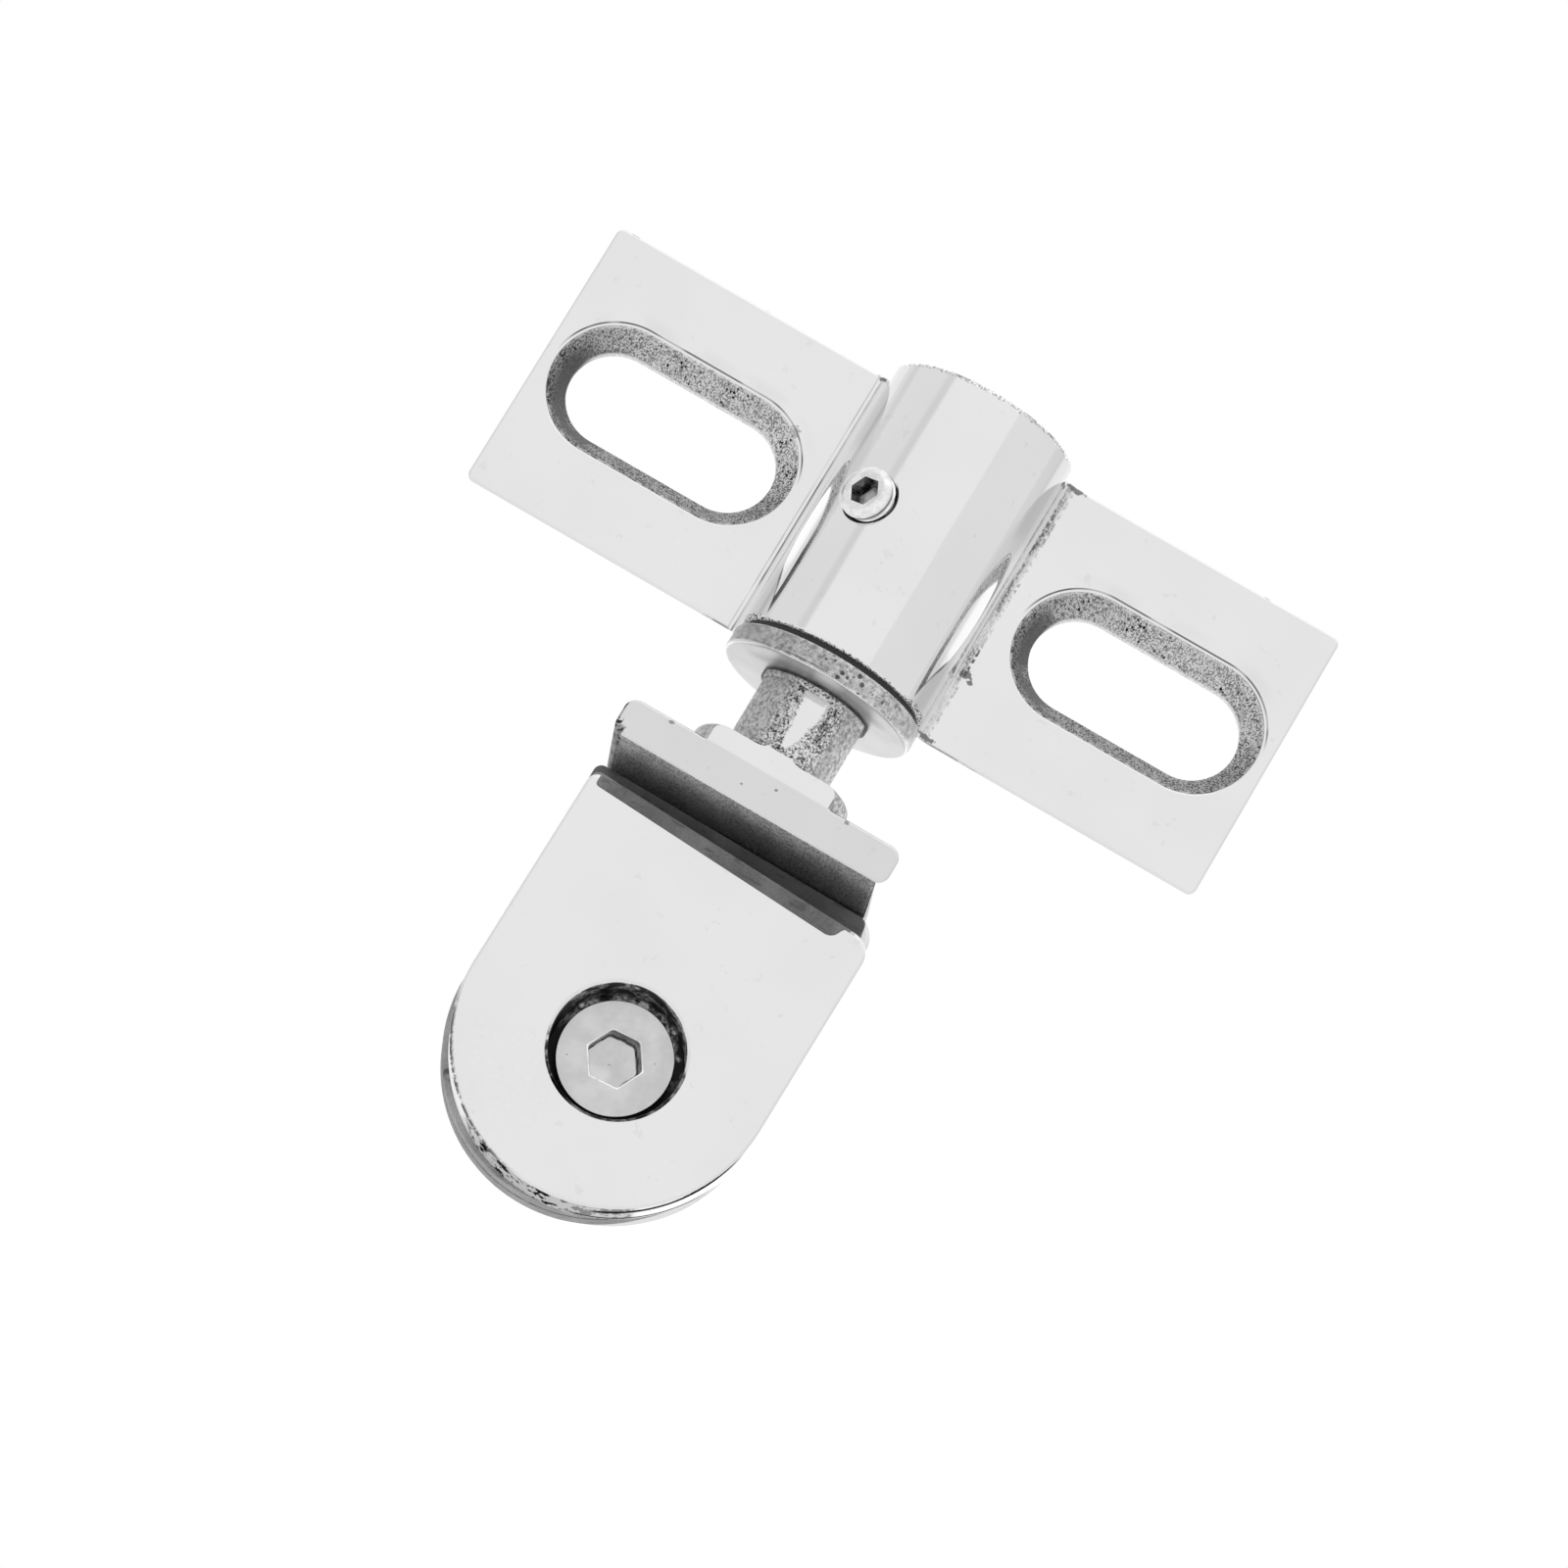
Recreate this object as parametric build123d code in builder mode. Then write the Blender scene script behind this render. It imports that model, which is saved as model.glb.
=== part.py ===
from build123d import *
import os
from math import cos, radians, sin, tan

os.makedirs("parts", exist_ok=True)

# Glass door hinge: a slotted wall bracket with a barrel, and a glass clamp that turns in the barrel.
# Millimetres. The front of the hinge faces -Y, and the wall that the ears are screwed to is the plane Y = 0.
# X = 0 is the middle of the bracket and the pivot axis, and Z = 0 is half the bracket's height.

# Wall bracket
bracket_width = 75.0
bracket_height = 27.6
ear_thickness = 3.4
ear_corner = 0.8
edge_round = 0.35
slot_height = 8.9
slot_end_wall = 1.33
slot_root_wall = 2.83
slot_land = 0.8
slot_draft = 35.0
slot_mouth_round = 0.45
barrel_diameter = 18.2
barrel_root_round = 1.6
axis_forward = 7.0
bush_bore = 11.0

# Bushes and pivot stub
journal_diameter = 8.0
running_gap = 0.05
bush_inset = 0.5
bush_middle_gap = 0.3
bush_chamfer = 0.4
stub_top_inset = 0.5
stub_chamfer = 0.6
groove_depth = 0.9
groove_width = 3.6

# Barrel set screw
set_screw_diameter = 5.0
set_screw_angle = 31.0
set_screw_proud = 1.2
set_screw_socket = 2.5
set_screw_socket_depth = 2.2
set_screw_point_diameter = 3.0
set_screw_chamfer = 0.35
set_screw_shoulder_gap = 1.2
thread_gap = 0.05
point_gap = 0.15

# Washers under the barrel
friction_washer_thickness = 0.5
friction_washer_diameter = 17.4
bearing_washer_thickness = 2.15
bearing_washer_diameter = 18.7
bearing_washer_round = 0.35
washer_bore_gap = 0.1

# Neck and boss of the clamp body
neck_diameter = 9.9
neck_length = 7.25
neck_ring_diameter = 10.6
neck_ring_height = 0.7
neck_ring_chamfer = 0.25
neck_flat_depth = 0.19
neck_flat_length = 5.9
boss_diameter = 15.5
boss_height = 1.85
boss_round = 0.8
boss_root_round = 0.4
neck_root_round = 0.4

# Head block of the clamp body
block_width = 27.7
block_height = 3.67
block_corner = 1.2
block_edge_round = 0.3
block_front = 4.8
block_underside_depth = 12.7

# Jaws: the rear jaw is part of the clamp body, and the front plate is the other jaw
screw_shift = 0.85
jaw_width = 28.6
jaw_shift = -0.42
jaw_thickness = 3.8
jaw_corner = 2.6
jaw_overlap = 0.5
jaw_edge_round = 0.4
screw_drop = 23.3
screw_above_jaw_end = 14.0
front_plate_width = 29.3
front_plate_shift = -0.28
front_plate_thickness = 4.6
front_plate_gap = 3.02
front_plate_round = 0.4
front_plate_turn = 0.8
front_plate_slope = 1.15
front_plate_left_corner = 1.1
front_plate_right_corner = 2.1
screw_above_plate_end = 14.25
notch_left = 14.06
notch_right = 11.15
notch_left_depth = 0.83
notch_right_depth = 1.78
notch_round = 0.35
notch_curve = 2.15

# Rubber pads
pad_width = 28.0
pad_thickness = 2.25
pad_shift = -1.2
pad_corner = 0.8
pad_below_screw = 14.4
pad_top_gap = 0.15
rear_pad_slope = 0.5
front_pad_slope = 1.5
front_pad_above_plate = 1.14
pad_gap = 0.3
pad_hole_gap = 0.75

# Clamp screw and the hub that it sits in
clamp_screw_diameter = 6.0
clamp_screw_length = 16.0
clamp_screw_head_diameter = 10.35
clamp_screw_head_height = 2.8
clamp_screw_recess = 3.0
clamp_screw_socket = 4.4
clamp_screw_socket_depth = 1.7
clamp_screw_chamfer = 0.7
clamp_screw_head_round = 0.25
counterbore_diameter = 12.2
counterbore_chamfer = 0.3
drill_point_depth = 1.2
drill_point_angle = 60.0
screw_clearance = 0.3
hub_diameter = 15.0
hub_web = 2.4
hub_chamfer = 0.4

# Heights worked out from the values above
bracket_top = bracket_height / 2
bracket_bottom = -bracket_height / 2
bearing_washer_top = bracket_bottom - friction_washer_thickness - running_gap
shoulder_z = bearing_washer_top - bearing_washer_thickness
ring_bottom = shoulder_z - neck_ring_height
boss_top = shoulder_z - neck_length
boss_grind_top = boss_top + neck_root_round
block_top = boss_top - boss_height
block_bottom = block_top - block_height
screw_z = block_bottom - screw_drop

# Distances in front of the wall, worked out from the values above
block_face = axis_forward + block_front
rear_pad_face = block_face - block_underside_depth
rear_jaw_face = rear_pad_face - pad_thickness
rear_jaw_back = rear_jaw_face - jaw_thickness
front_pad_back = rear_pad_face + pad_gap
plate_back = front_pad_back + pad_thickness
plate_face = plate_back + front_plate_thickness
head_seat = plate_face - clamp_screw_recess - clamp_screw_head_height
head_front = plate_face - clamp_screw_recess
hub_end = head_seat - hub_web

# Other sizes worked out from the values above
barrel_radius = barrel_diameter / 2
slot_taper_depth = ear_thickness - slot_land
slot_widening = 2 * slot_taper_depth * tan(radians(slot_draft))
slot_inner_end = barrel_radius + slot_root_wall
slot_outer_end = bracket_width / 2 - slot_end_wall
slot_spacing = slot_inner_end + slot_outer_end
slot_length = slot_outer_end - slot_inner_end - slot_widening
bush_length = (bracket_height - set_screw_diameter) / 2 - bush_inset - bush_middle_gap
stub_top = bracket_top - stub_top_inset
journal_radius = journal_diameter / 2
neck_radius = neck_diameter / 2
neck_front = -axis_forward - neck_radius
neck_ring_radius = neck_ring_diameter / 2
boss_radius = boss_diameter / 2
groove_radius = journal_radius - groove_depth
set_screw_tip = groove_radius + point_gap
set_screw_shoulder = journal_radius + set_screw_shoulder_gap
set_screw_end = barrel_radius + set_screw_proud
plate_above_screw = screw_drop - front_plate_gap

pivot_axis = Axis((0, -axis_forward, 0), (0, 0, 1))
pivot_plane = Plane.XZ.offset(axis_forward)
set_screw_direction = Vector(-sin(radians(set_screw_angle)), -cos(radians(set_screw_angle)), 0)
set_screw_plane = Plane(origin=(0, -axis_forward, 0), x_dir=(0, 0, 1), z_dir=set_screw_direction)

# Where the clamp screw stands in a front view, and how far the front plate is turned about it
screw_place = Location((screw_shift, screw_z, 0))
front_plate_place = Location((screw_shift, screw_z, 0), -front_plate_turn)


def tongue_outline(width, shift, above, below, slope, left_corner, right_corner):
    """A jaw or pad outline about the screw axis: a top edge that falls to the right, and a half-round lower end."""
    left = shift - width / 2
    right = shift + width / 2
    rise = width / 2 * tan(radians(slope))
    arc_z = width / 2 - below
    with BuildSketch() as outline:
        with BuildLine():
            Polyline((left, arc_z), (left, above + rise), (right, above - rise), (right, arc_z))
            ThreePointArc((right, arc_z), (shift, -below), (left, arc_z))
        make_face()
        fillet(outline.vertices().group_by(Axis.X)[0].sort_by(Axis.Y)[-1], left_corner)
        fillet(outline.vertices().group_by(Axis.X)[-1].sort_by(Axis.Y)[-1], right_corner)
    return outline.sketch


def notch_outline():
    """The notch in the front plate's top edge, about the screw axis: square on the left, S-shaped on the right."""
    left_floor = plate_above_screw - notch_left_depth
    right_floor = plate_above_screw - notch_right_depth
    curve_end_x = notch_right + notch_curve / 2
    top_at_curve = plate_above_screw - (curve_end_x - front_plate_shift) * tan(radians(front_plate_slope))
    curve_start = (notch_right - notch_curve / 2, right_floor)
    curve_middle = (notch_right, (right_floor + top_at_curve) / 2)
    curve_end = (curve_end_x, top_at_curve)
    above = plate_above_screw + notch_right_depth
    with BuildSketch() as outline:
        with BuildLine():
            TangentArc(curve_start, curve_middle, tangent=(1, 0))
            TangentArc(curve_end, curve_middle, tangent=(-1, 0))
            Polyline(curve_end, (curve_end_x, above), (-notch_left, above), (-notch_left, left_floor), curve_start)
        make_face()
        root = outline.vertices().sort_by(Axis.X)[:2].sort_by(Axis.Y)[0]
        fillet(root, notch_round)
    return outline.sketch


# Bracket: barrel and ears are one casting, drawn in plan and extruded to its height
with BuildPart() as bracket:
    with BuildSketch(Plane.XY.offset(bracket_bottom)) as plan:
        with Locations((0, -axis_forward)):
            Circle(barrel_radius)
        with Locations((0, -(axis_forward + barrel_radius) / 2)):
            Rectangle(barrel_diameter, axis_forward + barrel_radius, mode=Mode.INTERSECT)
        with Locations((0, -ear_thickness / 2)):
            Rectangle(bracket_width, ear_thickness)
        junctions = plan.vertices().filter_by(
            lambda v: abs(v.Y + ear_thickness) < 0.01 and abs(v.X) < barrel_diameter)
        fillet(junctions, barrel_root_round)
    extrude(amount=bracket_height)
    ear_ends = bracket.faces().filter_by(Axis.X)
    fillet(ear_ends.edges().filter_by(Axis.Y), ear_corner)
    front_edges = bracket.edges().filter_by(lambda e: e.bounding_box().max.Y < -ear_thickness + 0.01)
    seams = front_edges.filter_by(Axis.Z).filter_by(lambda e: abs(e.center().X) < bracket_width / 4)
    fillet(front_edges - seams, edge_round)

    # Slots: drafted walls that narrow to a straight land at the wall side
    with BuildSketch(Plane.XZ.offset(ear_thickness)):
        with GridLocations(slot_spacing, 0, 2, 1):
            SlotOverall(slot_length + slot_widening, slot_height + slot_widening)
    extrude(amount=-slot_taper_depth, taper=slot_draft, mode=Mode.SUBTRACT)
    with BuildSketch(Plane.XZ):
        with GridLocations(slot_spacing, 0, 2, 1):
            SlotOverall(slot_length, slot_height)
    extrude(amount=ear_thickness, mode=Mode.SUBTRACT)
    slot_mouths = bracket.edges().filter_by(
        lambda e: abs(e.center().Y + ear_thickness) < 0.01
        and abs(abs(e.center().X) - slot_spacing / 2) < (slot_length + slot_widening) / 2)
    fillet(slot_mouths, slot_mouth_round)

    # Bore for the bushes, and the threaded hole for the set screw
    with BuildSketch(Plane.XY.offset(bracket_bottom)):
        with Locations((0, -axis_forward)):
            Circle(bush_bore / 2)
    extrude(amount=bracket_height, mode=Mode.SUBTRACT)
    with BuildSketch(set_screw_plane):
        Circle(set_screw_diameter / 2 + thread_gap)
    extrude(amount=barrel_diameter, mode=Mode.SUBTRACT)
bracket.part.label = "bracket"
export_step(bracket.part, "parts/bracket.step")


# Bushes: two plain plastic bushes, one from each end of the barrel, with the groove between them
def plain_bush(bottom):
    """A bush that fills the barrel's bore and runs on the journal, with a chamfered lead at both ends."""
    with BuildPart() as bush:
        with BuildSketch(Plane.XY.offset(bottom)):
            with Locations((0, -axis_forward)):
                Circle(bush_bore / 2)
                Circle(journal_radius + running_gap, mode=Mode.SUBTRACT)
        extrude(amount=bush_length)
        chamfer(bush.edges().filter_by(GeomType.CIRCLE).group_by(SortBy.RADIUS)[0], bush_chamfer)
    return bush.part


lower_bush = plain_bush(bracket_bottom)
lower_bush.label = "lower_bush"
export_step(lower_bush, "parts/lower_bush.step")

upper_bush = plain_bush(bracket_top - bush_inset - bush_length)
upper_bush.label = "upper_bush"
export_step(upper_bush, "parts/upper_bush.step")


# Set screw: its dog point runs in the stub's groove and keeps the clamp from dropping out
with BuildPart() as barrel_set_screw:
    with BuildSketch(set_screw_plane.offset(set_screw_tip)):
        Circle(set_screw_point_diameter / 2)
    extrude(amount=set_screw_end - set_screw_tip)
    with BuildSketch(set_screw_plane.offset(set_screw_shoulder)):
        Circle(set_screw_diameter / 2)
    extrude(amount=set_screw_end - set_screw_shoulder)
    rims = barrel_set_screw.edges().filter_by(GeomType.CIRCLE).group_by(SortBy.RADIUS)[-1]
    chamfer(rims, set_screw_chamfer)
    with BuildSketch(set_screw_plane.offset(set_screw_end)):
        RegularPolygon(set_screw_socket / 2, 6, major_radius=False, rotation=30)
    extrude(amount=-set_screw_socket_depth, mode=Mode.SUBTRACT)
barrel_set_screw.part.label = "barrel_set_screw"
export_step(barrel_set_screw.part, "parts/barrel_set_screw.step")

# Washers: a thin dark friction washer against the barrel, and a thick polished one on the stub's shoulder
with BuildPart() as friction_washer:
    with BuildSketch(Plane.XY.offset(bracket_bottom)):
        with Locations((0, -axis_forward)):
            Circle(friction_washer_diameter / 2)
            Circle(journal_radius + washer_bore_gap, mode=Mode.SUBTRACT)
    extrude(amount=-friction_washer_thickness)
friction_washer.part.label = "friction_washer"
export_step(friction_washer.part, "parts/friction_washer.step")

with BuildPart() as bearing_washer:
    with BuildSketch(Plane.XY.offset(shoulder_z)):
        with Locations((0, -axis_forward)):
            Circle(bearing_washer_diameter / 2)
            Circle(journal_radius + washer_bore_gap, mode=Mode.SUBTRACT)
    extrude(amount=bearing_washer_thickness)
    rims = bearing_washer.edges().filter_by(GeomType.CIRCLE).group_by(SortBy.RADIUS)[-1]
    fillet(rims, bearing_washer_round)
bearing_washer.part.label = "bearing_washer"
export_step(bearing_washer.part, "parts/bearing_washer.step")

# Clamp body: rear jaw, head block, boss, neck and stub are one casting
with BuildPart() as clamp_body:
    # Rear jaw, its top edge buried in the head block
    with BuildSketch(Plane.XZ.offset(rear_jaw_face)):
        with Locations(screw_place):
            add(tongue_outline(
                jaw_width, jaw_shift, screw_drop + jaw_overlap, screw_above_jaw_end, 0, jaw_corner, jaw_corner))
    extrude(amount=-jaw_thickness)
    fillet(clamp_body.faces().filter_by(Axis.Y).edges(), jaw_edge_round)

    # Head block, whose underside covers the top edge of the glass
    with BuildSketch(Plane.XZ.offset(block_face)):
        with Locations((0, (block_top + block_bottom) / 2)):
            RectangleRounded(block_width, block_height, block_corner)
    extrude(amount=rear_jaw_back - block_face)
    fillet(clamp_body.faces().sort_by(Axis.Y)[0].edges(), block_edge_round)

    # Boss, neck and stub, turned about the pivot axis
    with BuildSketch(pivot_plane) as turned:
        with BuildLine():
            Polyline(
                (0, stub_top),
                (journal_radius, stub_top),
                (journal_radius, groove_width / 2),
                (groove_radius, groove_width / 2),
                (groove_radius, -groove_width / 2),
                (journal_radius, -groove_width / 2),
                (journal_radius, shoulder_z),
                (neck_ring_radius, shoulder_z),
                (neck_ring_radius, ring_bottom),
                (neck_radius, ring_bottom),
                (neck_radius, boss_top),
                (boss_radius, boss_top),
                (boss_radius, block_bottom),
                (0, block_bottom),
                (0, stub_top))
        make_face()
        stub_rim = turned.vertices().filter_by(lambda v: v.X > 0.01 and v.Y > stub_top - 0.01)
        chamfer(stub_rim, stub_chamfer)
        ring_rim = turned.vertices().filter_by(
            lambda v: abs(v.X - neck_ring_radius) < 0.01 and abs(v.Y - ring_bottom) < 0.01)
        chamfer(ring_rim, neck_ring_chamfer)
        neck_root = turned.vertices().filter_by(
            lambda v: abs(v.X - neck_radius) < 0.01 and abs(v.Y - boss_top) < 0.01)
        fillet(neck_root, neck_root_round)
        boss_rim = turned.vertices().filter_by(
            lambda v: abs(v.X - boss_radius) < 0.01 and abs(v.Y - boss_top) < 0.01)
        fillet(boss_rim, boss_round)
    revolve(axis=pivot_axis)

    # The boss is ground flush with the block's front face
    with BuildSketch(Plane.XZ.offset(block_face)):
        with Locations((0, (boss_grind_top + block_bottom) / 2)):
            Rectangle(boss_diameter, boss_grind_top - block_bottom)
    extrude(amount=boss_diameter, mode=Mode.SUBTRACT)
    boss_root = clamp_body.edges().filter_by(GeomType.CIRCLE).filter_by(
        lambda e: abs(e.radius - boss_radius) < 0.01 and abs(e.center().Z - block_top) < 0.01)
    fillet(boss_root, boss_root_round)

    # The neck's front is ground to a flat that gets narrower downward and runs out above the boss
    with BuildSketch(Plane.YZ):
        with BuildLine():
            Polyline(
                (neck_front - neck_flat_depth, ring_bottom),
                (neck_front + neck_flat_depth, ring_bottom),
                (neck_front, ring_bottom - neck_flat_length),
                (neck_front - neck_flat_depth, ring_bottom - neck_flat_length),
                close=True)
        make_face()
    extrude(amount=neck_radius, both=True, mode=Mode.SUBTRACT)

    # Threaded hole for the clamp screw
    with BuildSketch(Plane.XZ.offset(rear_jaw_face)):
        with Locations(screw_place):
            Circle(clamp_screw_diameter / 2 + thread_gap)
    extrude(amount=-jaw_thickness, mode=Mode.SUBTRACT)
clamp_body.part.label = "clamp_body"
export_step(clamp_body.part, "parts/clamp_body.step")


# Pads: two rubber pads between the jaws, each with a hole that the plate's hub passes through
def rubber_pad(place, back, above_screw, slope):
    """A pad glued to the jaw that stands at `place`, with its rear face `back` in front of the wall."""
    with BuildPart() as pad:
        with BuildSketch(Plane.XZ.offset(back)):
            with Locations(place):
                add(tongue_outline(
                    pad_width, pad_shift, above_screw, pad_below_screw, slope, pad_corner, pad_corner))
                Circle(hub_diameter / 2 + pad_hole_gap, mode=Mode.SUBTRACT)
        extrude(amount=pad_thickness)
    return pad.part


rear_pad = rubber_pad(screw_place, rear_jaw_face, screw_drop - pad_top_gap, rear_pad_slope)
rear_pad.label = "rear_pad"
export_step(rear_pad, "parts/rear_pad.step")

front_pad = rubber_pad(front_plate_place, front_pad_back, plate_above_screw + front_pad_above_plate, front_pad_slope)
front_pad.label = "front_pad"
export_step(front_pad, "parts/front_pad.step")

# Front plate: the loose jaw, with a shallow notch in its top edge and a hub that takes the screw's head
with BuildPart() as front_plate:
    with BuildSketch(Plane.XZ.offset(plate_face)):
        with Locations(front_plate_place):
            add(tongue_outline(
                front_plate_width, front_plate_shift, plate_above_screw, screw_above_plate_end,
                front_plate_slope, front_plate_left_corner, front_plate_right_corner))
    extrude(amount=-front_plate_thickness)
    fillet(front_plate.faces().sort_by(Axis.Y)[0].edges(), front_plate_round)
    with BuildSketch(Plane.XZ.offset(plate_face)):
        with Locations(front_plate_place):
            add(notch_outline())
    extrude(amount=-front_plate_thickness, mode=Mode.SUBTRACT)
    with BuildSketch(Plane.XZ.offset(hub_end)):
        with Locations(front_plate_place):
            Circle(hub_diameter / 2)
    extrude(amount=plate_back - hub_end)
    chamfer(front_plate.faces().sort_by(Axis.Y)[-1].edges(), hub_chamfer)
    with BuildSketch(Plane.XZ.offset(head_seat)):
        with Locations(front_plate_place):
            Circle(counterbore_diameter / 2)
    extrude(amount=plate_face - head_seat, mode=Mode.SUBTRACT)
    with BuildSketch(Plane.XZ.offset(hub_end)):
        with Locations(front_plate_place):
            Circle(clamp_screw_diameter / 2 + screw_clearance)
    extrude(amount=hub_web, mode=Mode.SUBTRACT)
    counterbore_rim = front_plate.faces().sort_by(Axis.Y)[0].edges().filter_by(GeomType.CIRCLE).filter_by(
        lambda e: abs(e.radius - counterbore_diameter / 2) < 0.01)
    chamfer(counterbore_rim, counterbore_chamfer)
front_plate.part.label = "front_plate"
export_step(front_plate.part, "parts/front_plate.step")

# Clamp screw: a socket head sunk in the plate, and a shank threaded through the rear jaw
with BuildPart() as clamp_screw:
    with BuildSketch(Plane.XZ.offset(head_seat)):
        with Locations(screw_place):
            Circle(clamp_screw_head_diameter / 2)
    extrude(amount=clamp_screw_head_height)
    fillet(clamp_screw.faces().sort_by(Axis.Y)[0].edges(), clamp_screw_head_round)
    with BuildSketch(Plane.XZ.offset(head_seat)):
        with Locations(screw_place):
            Circle(clamp_screw_diameter / 2)
    extrude(amount=-clamp_screw_length)
    chamfer(clamp_screw.faces().sort_by(Axis.Y)[-1].edges(), clamp_screw_chamfer)
    with BuildSketch(Plane.XZ.offset(head_front)):
        with Locations(screw_place):
            RegularPolygon(clamp_screw_socket / 2, 6, major_radius=False)
    extrude(amount=-clamp_screw_socket_depth, mode=Mode.SUBTRACT)
    with BuildSketch(Plane.XZ.offset(head_front - clamp_screw_socket_depth)):
        with Locations(screw_place):
            Circle(clamp_screw_socket / 2)
    extrude(amount=-drill_point_depth, taper=drill_point_angle, mode=Mode.SUBTRACT)
clamp_screw.part.label = "clamp_screw"
export_step(clamp_screw.part, "parts/clamp_screw.step")
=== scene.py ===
from math import cos, pi, radians, sin

import bmesh
import bpy
from mathutils import Matrix, Vector


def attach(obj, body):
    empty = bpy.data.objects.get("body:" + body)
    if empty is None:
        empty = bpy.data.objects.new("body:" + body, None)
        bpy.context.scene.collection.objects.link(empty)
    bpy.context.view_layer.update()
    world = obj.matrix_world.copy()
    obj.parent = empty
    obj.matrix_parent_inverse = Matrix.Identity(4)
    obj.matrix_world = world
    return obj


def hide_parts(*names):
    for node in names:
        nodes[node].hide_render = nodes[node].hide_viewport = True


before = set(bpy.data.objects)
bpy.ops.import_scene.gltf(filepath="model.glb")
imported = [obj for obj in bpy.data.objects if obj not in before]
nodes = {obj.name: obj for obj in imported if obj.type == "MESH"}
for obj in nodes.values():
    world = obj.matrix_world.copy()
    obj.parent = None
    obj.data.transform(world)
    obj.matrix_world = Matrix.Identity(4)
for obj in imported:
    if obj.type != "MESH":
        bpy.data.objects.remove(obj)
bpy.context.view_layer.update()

MM = 0.001
BRACKET = "wall bracket"
JAW = "front jaw"

# Places on the hinge, in millimetres of its own frame. -Y is the front, and the wall's face is at Y 0
AXIS_Y = -7.0
HALF_WIDTH = 37.5
EAR_FRONT = -3.4
SLOT_X = 24.05
SLOT_HALF_RUN = 5.85
SLOT_MOUTH = 6.4
BARREL_RADIUS = 9.1
BARREL_END = 13.8
WASHER_RADIUS = 9.35
WASHER_BOTTOM = -16.5
NECK_RADIUS = 4.95
BLOCK_FRONT = -11.8
BLOCK_LEFT = -13.85
BLOCK_TOP = -25.6
BLOCK_BOTTOM = -29.27
REAR_JAW_FRONT = 3.15
PLATE_FRONT = -6.25
PLATE_BACK = -1.65
COUNTERBORE_RADIUS = 6.1
SCREW_CENTRE = (0.85, -52.57)
SCREW_SEAT = -0.45
HEAD_DROP = 0.15
SOCKET_TURN = radians(4.0)
SET_SCREW_TURN = radians(31.0)

# Tone of bright chrome, and its roughness where it is clean and in a pit
POLISH = 0.825
CLEAN, PITTED = 0.05, 0.4

# Camera, fitted to the photo: a long lens, below the hinge and a little to its right
CAMERA_AZIMUTH, CAMERA_ELEVATION = 3.698, -14.12
CAMERA_ROLL, HINGE_TILT = 1.073, 29.9
CAMERA_TARGET = (1.401, AXIS_Y, -24.488)
CAMERA_DISTANCE = 655.142
FOCAL_PIXELS, PHOTO_PIXELS, SENSOR = 7579.46, 1600, 36.0


def build_camera():
    azimuth, elevation = radians(CAMERA_AZIMUTH), radians(CAMERA_ELEVATION)
    back = Vector((sin(azimuth) * cos(elevation), -cos(azimuth) * cos(elevation), sin(elevation)))
    right = (-back).cross(Vector((0, 0, 1))).normalized()
    up = right.cross(-back).normalized()
    roll = radians(CAMERA_ROLL + HINGE_TILT)
    across = right * cos(roll) + up * sin(roll)
    upward = -right * sin(roll) + up * cos(roll)
    data = bpy.data.cameras.new("camera")
    data.sensor_width = SENSOR
    data.lens = FOCAL_PIXELS / PHOTO_PIXELS * SENSOR
    data.clip_start = 0.01
    data.clip_end = 20.0
    camera = bpy.data.objects.new("camera", data)
    place = (Vector(CAMERA_TARGET) + back * CAMERA_DISTANCE) * MM
    rotation = Matrix((across, upward, back)).transposed()
    camera.matrix_world = Matrix.Translation(place) @ rotation.to_4x4()
    bpy.context.scene.collection.objects.link(camera)
    bpy.context.scene.camera = camera


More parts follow.
